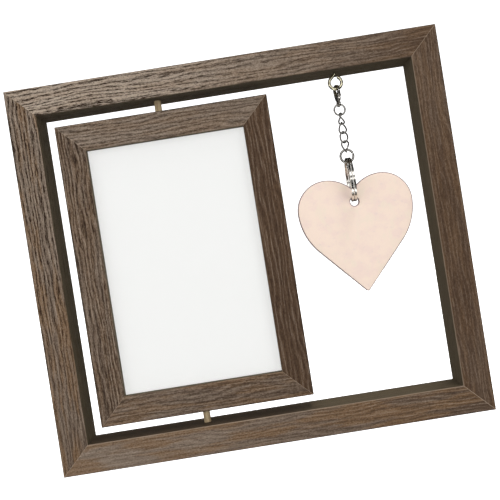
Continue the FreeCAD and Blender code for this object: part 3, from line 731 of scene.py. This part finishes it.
def zinc_finish(look):
    """Zinc-plated steel: faint spangle and rolled streaks."""
    finish = Finish("zinc_plate")
    spangle = finish.noise(mm(0.8, 0.8, 0.8), 5, detail=1)
    streaks = finish.noise(mm(6, 0.2, 0.2), 9, detail=3)
    colour = finish.blend(spangle.rise(0.4, 0.6) * 0.5, look.zinc, darker(look.zinc, 0.7))
    return finish.shade(Base_Color=colour, Metallic=0.5, Roughness=look.zinc_polish + 0.2 * streaks,
                        Normal=finish.relief(streaks, 0.01 * MM))


def heart_finish(look):
    """A pale sanded blank: soft pink and straw clouds, faint grey smudges and fine fibres, with a greyish line
    round each face and a paler cut edge."""
    finish = Finish("pale_heart_blank")
    clouds = finish.noise(mm(7, 7, 6), 2, detail=4)
    drift = finish.noise(mm(5, 5, 7), 11, detail=4)
    marks = finish.noise(mm(2.6, 2.6, 1.8), 19, detail=5)
    fibres = finish.noise(mm(0.4, 0.4, 2.2), 23, detail=4)
    colour = finish.blend(clouds.rise(0.42, 0.66), look.face, look.blush)
    colour = colour.toward(look.straw, 0.8 * drift.rise(0.5, 0.7))
    colour = colour.toward(look.smudge, 0.3 * marks.rise(0.55, 0.72) * clouds.rise(0.4, 0.6))
    colour = colour.toward(look.smudge, 0.08 * fibres.rise(0.5, 0.7))
    flat = abs(finish.facing()[1])
    colour = colour.toward(look.rim, flat.rise(*HEART_RIM))
    colour = colour.toward(look.cut, 0.9 * flat.rise(*HEART_CUT))
    return finish.shade(Base_Color=colour, Roughness=0.62 + 0.1 * fibres, Specular_IOR_Level=0.35,
                        Normal=finish.relief(fibres, 0.02 * MM))


def eye_path(sizes, centre, top):
    """The screw eye's wire: down the shank, a bend to one side, round the loop, and a straight open end."""
    radius = (sizes.eye_inside + sizes.eye_wire) / 2
    apex = top - centre[2] - sizes.eye_neck
    half_mouth = math.asin(radius / apex)
    bend_rise = apex + sizes.eye_bend * math.tan(half_mouth / 2)
    mouth = (sizes.eye_wire + sizes.eye_mouth) / math.sin(2 * half_mouth)
    shank = np.array([[0, top - centre[2] + sizes.eye_grip * share] for share in (1, 0.6, 0.2, 0.02)])
    bend = arc((-sizes.eye_bend, bend_rise), sizes.eye_bend, 0, -half_mouth, BEND_POINTS)
    loop = arc((0, 0), radius, math.pi - half_mouth, 2 * math.pi + half_mouth, LOOP_POINTS)
    last_way = unit(loop[-1] - loop[-2])
    end = np.array([0, apex]) - last_way * mouth
    rest = loop[-1] + (end - loop[-1]) * np.array([[0.5], [0.95], [1.0]])
    return upright(np.concatenate([shank, bend, loop, rest])) + centre


def oval_path(reach, side, seam):
    """An oval of two straight sides and two half circles, from one side of its seam round to the other.

    With s the length run from the middle of the right side, an angle goes from 0 to pi round the top half
    circle and on to 2 pi round the bottom one, and a rise goes from 0 to side, to -side and back along the
    straight stretches: x = reach cos(angle), z = reach sin(angle) + rise.
    """
    turn = math.pi * reach
    knots = np.cumsum([0, side, turn, 2 * side, turn, side])
    run = seam / 2 + end_spacing(LINK_POINTS, knots[-1] - seam, seam)
    angle = np.interp(run, knots, np.array([0, 0, 1, 1, 2, 2]) * math.pi)
    path = reach * around(angle)
    path[:, 1] += np.interp(run, knots, np.array([0, 1, 1, -1, -1, 0]) * side)
    return path


def curb_link(node, facing, sizes):
    """A twisted oval link: the oval's points are turned about the vertical by facing + rate z."""
    reach = (sizes.link_width - sizes.link_wire) / 2
    rise = (sizes.link_inside + sizes.link_wire) / 2
    flat = oval_path(reach, rise - reach, sizes.link_seam)
    turn = math.radians(facing) + sizes.link_twist / rise * flat[:, 1]
    side = np.stack([-np.sin(turn), np.cos(turn), np.zeros(len(turn))], axis=1)
    return turned(flat, turn) + middle_of(node), side


def ring_path(node, width, wire, seam_at, seam):
    """A round ring's wire: centre + radius (cos a, 0, sin a), from one side of its seam round to the other."""
    radius = (width - wire) / 2
    length = radius * (2 * math.pi - seam)
    angle = seam_at + end_spacing(ROUND_POINTS, length, wire / 10) / radius
    return upright(radius * around(angle)) + middle_of(node)


def split_path(sizes, centre):
    """The split ring's wire: two turns of a circle about X, shifted along X by a smooth step half way round.

    With t the share of the step done, the shift is pitch (1/2 - t t (3 - 2 t)).
    """
    radius = (sizes.split_width - sizes.split_band) / 2
    angle = np.linspace(sizes.split_jog / 2, 4 * math.pi - sizes.split_jog / 2, COIL_POINTS)
    done = np.clip((angle - 2 * math.pi + sizes.split_jog / 2) / sizes.split_jog, 0, 1)
    shift = (sizes.split_wire + sizes.split_gap) * (1 / 2 - done * done * (3 - 2 * done))
    path = np.insert(radius * around(angle + sizes.split_jog_at), 0, shift, axis=1)
    turn = np.array(Matrix.Rotation(sizes.split_turn, 3, "Z"))
    return path @ turn.T + centre, np.array([1.0, 0, 0]) @ turn.T


def soft_rectangle(width, height, count):
    """A rectangle with round corners: half sizes times the ninth roots of squared cosine and sine, signed."""
    points = circle(1, count)
    return np.sign(points) * np.abs(points) ** (2 / 9) * np.array([width, height]) / 2


def pierced_plate(outline, hole_centre, hole_radius, depth, edge):
    """A flat plate with one round hole and rounded edges.

    Columns run round the outline. Rows go from the hole over the front face to the outline, and back over the
    rear face: point = hole circle (1 - reach) + outline set in by a rounding (reach), with reach from 0 to 1.
    """
    out = unit(outline - hole_centre)
    along = np.roll(outline, -1, axis=0) - np.roll(outline, 1, axis=0)
    outward = unit(np.stack([along[:, 1], -along[:, 0]], axis=1))
    outward *= np.sign(np.sum(outward * out, axis=1).mean())
    set_in, lower = rounding(edge, EDGE_ROWS)
    spans = np.linspace(0, 1, FACE_ROWS + 2)[1:-1]
    reach = np.concatenate([np.zeros(EDGE_ROWS), spans, np.ones(EDGE_ROWS)])
    inset = np.concatenate([set_in[::-1], np.full(FACE_ROWS, edge), set_in])
    sink = np.concatenate([lower[::-1], np.zeros(FACE_ROWS), lower])
    reach = there_and_back(reach)[:, None, None]
    inset = there_and_back(inset)[:, None, None]
    height = np.concatenate([sink - depth / 2, (depth / 2 - sink)[::-1]])
    inner = hole_centre + (hole_radius + inset) * out
    outer = outline - inset * outward
    flat = inner * (1 - reach) + outer * reach
    y = np.broadcast_to(height[:, None], flat.shape[:2])
    return np.stack([flat[..., 0], y, flat[..., 1]], axis=-1)


def rounding(edge, count):
    """How far a rounded edge is set in, edge (1 - sin b), and how deep it lies, edge (1 - cos b), in steps of b
    from the face to the side."""
    bend = np.linspace(0, math.pi / 2, count)
    return edge * (1 - np.sin(bend)), edge * (1 - np.cos(bend))


def there_and_back(rows):
    """Rows of the front half, and again in turned order for the rear half."""
    return np.concatenate([rows, rows[::-1]])


def slab(low, high, edge):
    """A flat box with rounded edges: rows are upright rectangles, set in and sunk by the rounding from the front
    face to the sides, and the same from the sides to the rear face."""
    inset, sink = rounding(edge, PANE_ROWS)
    inset = there_and_back(inset)[:, None]
    depth = np.concatenate([low[1] + sink, high[1] - sink[::-1]])
    right = np.array([0, 1, 1, 0])
    up = np.array([0, 0, 1, 1])
    x = low[0] + inset + right * (high[0] - low[0] - 2 * inset)
    z = low[2] + inset + up * (high[2] - low[2] - 2 * inset)
    return np.stack([x, np.broadcast_to(depth[:, None], x.shape), z], axis=-1)


def heart_outline(look, low, high):
    """The heart's outline, from the notch round: a lobe's inner arc, its outer quarter circle, a bowed side, a
    straight run and half the tip, then the same mirrored. Each arc starts along the end of the one before."""
    half = (high[0] - low[0]) / 2
    lobe_x = look.lobe_share * half
    lobe = half - lobe_x
    inner = (lobe_x ** 2 + look.notch ** 2) / (2 * look.notch)
    side = look.side_share * half
    tip_centre = np.array([0, low[2] + look.tip_radius])
    side_centre = np.array([half - side, high[2] - lobe])
    between = tip_centre - side_centre
    lean = math.atan2(between[1], between[0]) + math.acos((side - look.tip_radius) / np.linalg.norm(between))
    notch_at = math.pi - math.asin((inner - look.notch) / inner)
    pieces = [
        arc((lobe_x, high[2] - inner), inner, notch_at, math.pi / 2, LOBE_POINTS),
        arc((lobe_x, high[2] - lobe), lobe, math.pi / 2, 0, LOBE_POINTS)[1:],
        arc(side_centre, side, 0, lean, LOBE_POINTS)[1:],
    ]
    tip = arc(tip_centre, look.tip_radius, lean, -math.pi / 2, HEART_TIP_POINTS)
    straight = np.linspace(pieces[-1][-1], tip[0], STRAIGHT_POINTS)[1:-1]
    right = np.concatenate([*pieces, straight, tip])
    left = right[-2:0:-1] * np.array([-1, 1])
    return np.concatenate([right, left])


def stadium(root, tip, reach):
    """A turn button's outline: an arc round its root, one round its tip, and straight sides between them."""
    lean = math.asin((root - tip) / 2 / reach)
    near = arc((0, 0), root / 2, math.pi / 2 - lean, 3 * math.pi / 2 + lean, BUTTON_ROOT_POINTS)
    far = arc((reach, 0), tip / 2, lean - math.pi / 2, math.pi / 2 - lean, BUTTON_TIP_POINTS)
    return np.concatenate([near, far])


def screw_skin(sizes, depth_in):
    """A domed screw head with a cross recess, on its shank: rows of circles from the shank's end to the crown.

    The dome is height (1 - (r / R)^2.6), and the recess sinks it by depth times how far a point lies inside
    either slot, fading towards the slot's ends.
    """
    ring = circle(1, ROUND_POINTS)
    head = sizes.head / 2
    shank = sizes.shank / 2
    share = np.sin(np.linspace(math.pi / 2, 0, DOME_ROWS))
    dome = sizes.head_height * (1 - share ** 2.6)
    x, z = (head * share)[:, None] * ring.T[:, None]
    slot = np.zeros_like(x)
    for across, run in ((x, z), (z, x)):
        inside = np.clip(1.5 - np.abs(across) / (sizes.recess_width / 2), 0, 1)
        fade = np.clip(1.6 * (1 - np.abs(run) / (sizes.recess / 2)), 0, 1)
        slot = np.maximum(slot, inside * fade)
    y = dome[:, None] - sizes.recess_depth * slot
    crown = np.stack([x, y, z], axis=-1)
    stem_radius = np.array([shank * 0.2, shank, shank, head * 0.94])
    stem_height = np.array([-depth_in, -depth_in + shank, 0, 0])
    stem = stem_radius[:, None, None] * upright(ring) + BACKWARD * stem_height[:, None, None]
    crown[-1] = crown[-1].mean(axis=0) + (crown[-2] - crown[-2].mean(axis=0)) * 0.05
    return np.concatenate([stem, crown])


def cast_copy(node, body, finish, voxel):
    """A softened copy of a solid, as cast metal has: remeshed finely and smoothed at its edges."""
    mesh = solid_of(node).data.copy()
    piece = bpy.data.objects.new(node + "_cast", mesh)
    mesh.materials.clear()
    mesh.materials.append(finish)
    place_piece(piece, body, node)
    weld = piece.modifiers.new("weld", "WELD")
    weld.merge_threshold = voxel / 50
    remesh = piece.modifiers.new("remesh", "REMESH")
    remesh.mode = "VOXEL"
    remesh.voxel_size = voxel
    remesh.use_smooth_shade = True
    soften = piece.modifiers.new("soften", "SMOOTH")
    soften.factor = 0.5
    soften.iterations = 6


class PHOTOFRAME_OT_outer_frame(bpy.types.Operator):
    """Wraps the standing frame's four mouldings and plates their nails"""
    bl_idname = "photo_frame.outer_frame"
    bl_label = "Outer Frame"

    def execute(self, context):
        dress_frame("outer", context.scene)
        return {"FINISHED"}


class PHOTOFRAME_OT_inner_frame(bpy.types.Operator):
    """Wraps the turning frame's four mouldings and plates their nails"""
    bl_idname = "photo_frame.inner_frame"
    bl_label = "Inner Frame"

    def execute(self, context):
        dress_frame("inner", context.scene)
        return {"FINISHED"}


class PHOTOFRAME_OT_dowels(bpy.types.Operator):
    """Leaves the two dowels in pale wood"""
    bl_idname = "photo_frame.dowels"
    bl_label = "Dowels"

    def execute(self, context):
        wood = dowel_finish()
        set_finish("bottom_dowel", wood)
        set_finish("top_dowel", wood)
        return {"FINISHED"}


class PHOTOFRAME_OT_pictures(bpy.types.Operator):
    """Finishes the two panes, the two blank prints and the board between them"""
    bl_idname = "photo_frame.pictures"
    bl_label = "Pictures"

    def execute(self, context):
        look = context.scene.picture_look
        glass = glass_finish(look)
        card = card_finish(look)
        for face, corner_by_print, away in (("front", 1, -1), ("back", 0, 1)):
            corners = box_of(face + "_pane")
            corners[corner_by_print][1] += away * look.pane_air
            pane = slab(*corners, look.pane_edge)
            add_piece(face + "_pane", "glass", [pane], "inner_frame", glass)
            set_finish(face + "_print", card)
        set_finish("centre_board", board_finish())
        return {"FINISHED"}


class PHOTOFRAME_OT_turn_buttons(bpy.types.Operator):
    """Makes the four turn buttons and their screws on the back"""
    bl_idname = "photo_frame.turn_buttons"
    bl_label = "Turn Buttons"

    def execute(self, context):
        sizes = context.scene.back_sizes
        zinc = zinc_finish(context.scene.metal_look)
        outline = stadium(sizes.root, sizes.tip, sizes.reach)
        screws_low, screws_high = box_of("turn_button_screws")
        under_head = screws_high[1] - sizes.head_height
        screw = screw_skin(sizes, under_head - screws_low[1])
        screws = []
        for place in ("left_low", "left_high", "right_low", "right_high"):
            node = "turn_button_" + place
            low, high = box_of(node)
            flip = 1 if place.startswith("left") else -1
            root = low[0] + sizes.root / 2 if flip > 0 else high[0] - sizes.root / 2
            plate = pierced_plate(outline * np.array([flip, 1]), np.zeros(2), sizes.bore / 2, high[1] - low[1],
                                  sizes.edge_round)
            at = np.array([root, (low[1] + high[1]) / 2, (low[2] + high[2]) / 2])
            add_piece(node, "plate", [plate + at], "button_" + place, zinc, wrap_rows=True)
            screws.append(screw + np.array([at[0], under_head, at[2]]))
        add_piece("turn_button_screws", "cross", screws, "inner_frame", zinc)
        return {"FINISHED"}


class PHOTOFRAME_OT_screw_eye(bpy.types.Operator):
    """Makes the screw eye in the top rail"""
    bl_idname = "photo_frame.screw_eye"
    bl_label = "Screw Eye"

    def execute(self, context):
        sizes = context.scene.pendant_sizes
        metal = context.scene.metal_look
        bottom = box_of("screw_eye")[0][2]
        centre = np.array([middle_of("heart")[0], 0, bottom + sizes.eye_inside / 2 + sizes.eye_wire])
        path = eye_path(sizes, centre, box_of("outer_top_rail")[0][2])
        finish = bright_finish("eye_plate", metal.eye, metal, metal.worn_polish)
        add_wire("screw_eye", "outer_frame", path, BACKWARD, sizes.eye_wire, finish, metal.sides)
        return {"FINISHED"}


class PHOTOFRAME_OT_clasp(bpy.types.Operator):
    """Softens the clasp and its lever, as cast metal is, and plates their pin and spring"""
    bl_idname = "photo_frame.clasp"
    bl_label = "Clasp"

    def execute(self, context):
        metal = context.scene.metal_look
        finish = bright_finish("clasp_plate", metal.nickel, metal, metal.polish)
        cast_copy("clasp_body", "clasp", finish, 0.08 * MM)
        cast_copy("clasp_lever", "lever", finish, 0.06 * MM)
        set_finish("clasp_pin", finish)
        set_finish("clasp_spring", finish)
        return {"FINISHED"}


class PHOTOFRAME_OT_chain(bpy.types.Operator):
    """Makes the two jump rings and the four twisted links"""
    bl_idname = "photo_frame.chain"
    bl_label = "Chain"

    def execute(self, context):
        sizes = context.scene.pendant_sizes
        metal = context.scene.metal_look
        finish = bright_finish("chain_plate", metal.chain, metal, metal.polish)
        rings = (("upper", sizes.small_ring, sizes.small_wire, sizes.small_seam_at),
                 ("lower", sizes.large_ring, sizes.large_wire, sizes.large_seam_at))
        for name, width, wire, seam_at in rings:
            node = name + "_jump_ring"
            path = ring_path(node, width, wire, seam_at, sizes.ring_seam)
            add_wire(node, name + "_ring", path, BACKWARD, wire, finish, metal.sides)
        for number, facing in enumerate(sizes.link_facings, start=1):
            node = "chain_link_%d" % number
            path, side = curb_link(node, facing, sizes)
            add_wire(node, "link_%d" % number, path, side, sizes.link_wire, finish, metal.sides)
        return {"FINISHED"}


class PHOTOFRAME_OT_split_ring(bpy.types.Operator):
    """Makes the split ring, a flat wire wound twice"""
    bl_idname = "photo_frame.split_ring"
    bl_label = "Split Ring"

    def execute(self, context):
        sizes = context.scene.pendant_sizes
        metal = context.scene.metal_look
        path, side = split_path(sizes, middle_of("split_ring"))
        skin = sweep(path, side, soft_rectangle(sizes.split_wire, sizes.split_band, metal.sides))
        finish = bright_finish("split_ring_plate", metal.nickel, metal, metal.worn_polish)
        add_piece("split_ring", "wire", [skin], "key_ring", finish)
        return {"FINISHED"}


class PHOTOFRAME_OT_heart(bpy.types.Operator):
    """Makes the heart blank with its hole and softened edge"""
    bl_idname = "photo_frame.heart"
    bl_label = "Heart"

    def execute(self, context):
        look = context.scene.heart_look
        low, high = box_of("heart")
        outline = heart_outline(look, low, high)
        hole = np.array([0, high[2] - look.notch - look.hole_below])
        plate = pierced_plate(outline, hole, look.hole / 2, high[1] - low[1], look.edge_round)
        plate[..., 0] += (low[0] + high[0]) / 2
        add_piece("heart", "blank", [plate], "heart", heart_finish(look), wrap_rows=True)
        return {"FINISHED"}


class PHOTOFRAME_OT_studio(bpy.types.Operator):
    """Makes the white round room, its soft lights and the camera"""
    bl_idname = "photo_frame.studio"
    bl_label = "Studio"

    def execute(self, context):
        look = context.scene.studio_look
        add_room(look)
        add_curtain(look)
        add_world(look, context.scene)
        centre = Vector((0, 0, (solid_box[0][2] + solid_box[1][2]) / 2))
        for name, place in LIGHT_PLACES.items():
            depth = look.top_depth if name == "top" else look.light_size
            add_light(name, getattr(look, name + "_power"), look.light_size, depth, place, centre)
        add_camera(look, context.scene, centre)
        context.scene.view_settings.view_transform = "Standard"
        return {"FINISHED"}


def add_shell(name, profile, finish):
    """A round shell of the stage: point = (r cos a, r sin a, z), where (r, z) runs along the profile."""
    points = turned(profile[:, None], np.linspace(0, 2 * math.pi, ROUND_POINTS, endpoint=False))
    cells = grid_faces(len(profile), ROUND_POINTS, False)
    mesh = bpy.data.meshes.new(name)
    mesh.from_pydata(points.reshape(-1, 3).tolist(), [], cells[:, ::-1].tolist())
    mesh.shade_smooth()
    mesh.materials.append(finish)
    shell = bpy.data.objects.new(name, mesh)
    bpy.context.scene.collection.objects.link(shell)
    shell.visible_diffuse = False
    shell.visible_shadow = False
    return shell


def add_room(look):
    """A white round room: the floor, a quarter circle and the wall. Only the camera sees it."""
    floor = look.room_radius - look.room_bend
    bend = arc((floor, look.room_bend), look.room_bend, -math.pi / 2, 0, BEND_ROWS)
    run = np.linspace(0.1 * MM, floor, FLOOR_ROWS)
    profile = np.concatenate([np.stack([run, np.zeros(FLOOR_ROWS)], axis=1)[:-1], bend,
                              [[look.room_radius, look.room_height]]])
    finish = Finish("white_room")
    cloud = finish.noise(mm(500, 500, 500), 1)
    white = finish.shade(Base_Color=look.white, Roughness=0.85 + 0.1 * cloud, Specular_IOR_Level=0.1,
                         Emission_Color=look.white, Emission_Strength=look.room_glow)
    add_shell("white_room", profile, white).visible_glossy = False


def add_curtain(look):
    """A dark round curtain with pale bands, which only reflections see: it gives bright metal its contrast.

    The profile is half a circle round the middle of the room's floor, without its two ends. Upright strips follow
    the angle round it and hoops its height, and a window in front of the pendant shines in the middle of its wires.
    """
    profile = arc((0, 0), look.curtain_radius, -NEARLY_UPRIGHT, NEARLY_UPRIGHT, CURTAIN_ROWS)
    finish = Finish("banded_curtain")
    turn = finish.x.math("ARCTAN2", finish.y, finish.x)
    strips = (turn * 3 + 0.8).sine().rise(0.955, 0.985)
    hoops = (finish.z * 4.5 + 0.9).sine().rise(0.92, 0.97)
    bands = strips.most(0.8 * hoops) * finish.y.rise(0.5, -0.1)
    window = finish.z.rise(0.5, 0.58) * finish.z.rise(0.95, 0.85)
    window = window * abs(turn - WINDOW_TURN).rise(0.45, 0.3)
    bands = bands.most(window)
    dim = look.curtain_dark / look.curtain_light
    dark = finish.shade(Base_Color=(0.0, 0.0, 0.0), Emission_Color=dim + (1 - dim) * bands,
                        Emission_Strength=look.curtain_light)
    add_shell("banded_curtain", profile, dark).visible_camera = False


def add_world(look, scene):
    """Even light from all round."""
    world = bpy.data.worlds.new("even_light")
    world.use_nodes = True
    inputs = world.node_tree.nodes["Background"].inputs
    inputs["Color"].default_value = (*look.white, 1.0)
    inputs["Strength"].default_value = look.ambient
    scene.world = world


def add_light(name, power, width, depth, place, target):
    """A soft rectangular light that points at a target, and that bright metal doesn't mirror."""
    light = bpy.data.lights.new(name, "AREA")
    light.shape = "RECTANGLE"
    light.energy = power
    light.size = width
    light.size_y = depth
    holder = bpy.data.objects.new(name, light)
    holder.location = place
    holder.rotation_euler = (target - Vector(place)).to_track_quat("-Z", "Y").to_euler()
    holder.visible_glossy = False
    bpy.context.scene.collection.objects.link(holder)


def add_camera(look, scene, centre):
    """A camera square to the frame's front, turned about its own view."""
    camera = bpy.data.cameras.new("camera")
    camera.sensor_width = 36
    camera.lens = look.lens
    holder = bpy.data.objects.new("camera", camera)
    front = box_of("outer_top_rail")[0][1]
    place = Vector((look.aside, front - look.distance, centre.z + look.above))
    holder.matrix_world = (Matrix.Translation(place) @ Matrix.Rotation(math.pi / 2, 4, "X")
                           @ Matrix.Rotation(look.roll, 4, "Z"))
    scene.collection.objects.link(holder)
    scene.camera = holder


class PHOTOFRAME_PT_panel(bpy.types.Panel):
    """Lists what the add-on makes, in order"""
    bl_idname = "PHOTOFRAME_PT_panel"
    bl_label = "Photo Frame"
    bl_space_type = "VIEW_3D"
    bl_region_type = "UI"
    bl_category = "Photo Frame"

    def draw(self, context):
        for operator in OPERATORS:
            self.layout.operator(operator.bl_idname)


LOOKS = {
    "wrap_look": WrapLook,
    "metal_look": MetalLook,
    "pendant_sizes": PendantSizes,
    "heart_look": HeartLook,
    "picture_look": PictureLook,
    "back_sizes": BackSizes,
    "studio_look": StudioLook,
}

OPERATORS = (
    PHOTOFRAME_OT_outer_frame,
    PHOTOFRAME_OT_inner_frame,
    PHOTOFRAME_OT_dowels,
    PHOTOFRAME_OT_pictures,
    PHOTOFRAME_OT_turn_buttons,
    PHOTOFRAME_OT_screw_eye,
    PHOTOFRAME_OT_clasp,
    PHOTOFRAME_OT_chain,
    PHOTOFRAME_OT_split_ring,
    PHOTOFRAME_OT_heart,
    PHOTOFRAME_OT_studio,
)


def register():
    """Makes the looks, operators and panel known."""
    for name, look in LOOKS.items():
        bpy.utils.register_class(look)
        setattr(bpy.types.Scene, name, PointerProperty(type=look))
    for kind in (*OPERATORS, PHOTOFRAME_PT_panel):
        bpy.utils.register_class(kind)


def unregister():
    """Takes them away again."""
    for kind in (PHOTOFRAME_PT_panel, *reversed(OPERATORS)):
        bpy.utils.unregister_class(kind)
    for name, look in reversed(LOOKS.items()):
        delattr(bpy.types.Scene, name)
        bpy.utils.unregister_class(look)


def main():
    """Makes everything in order."""
    register()
    for operator in OPERATORS:
        module, name = operator.bl_idname.split(".")
        getattr(getattr(bpy.ops, module), name)()


if __name__ == "__main__":
    main()
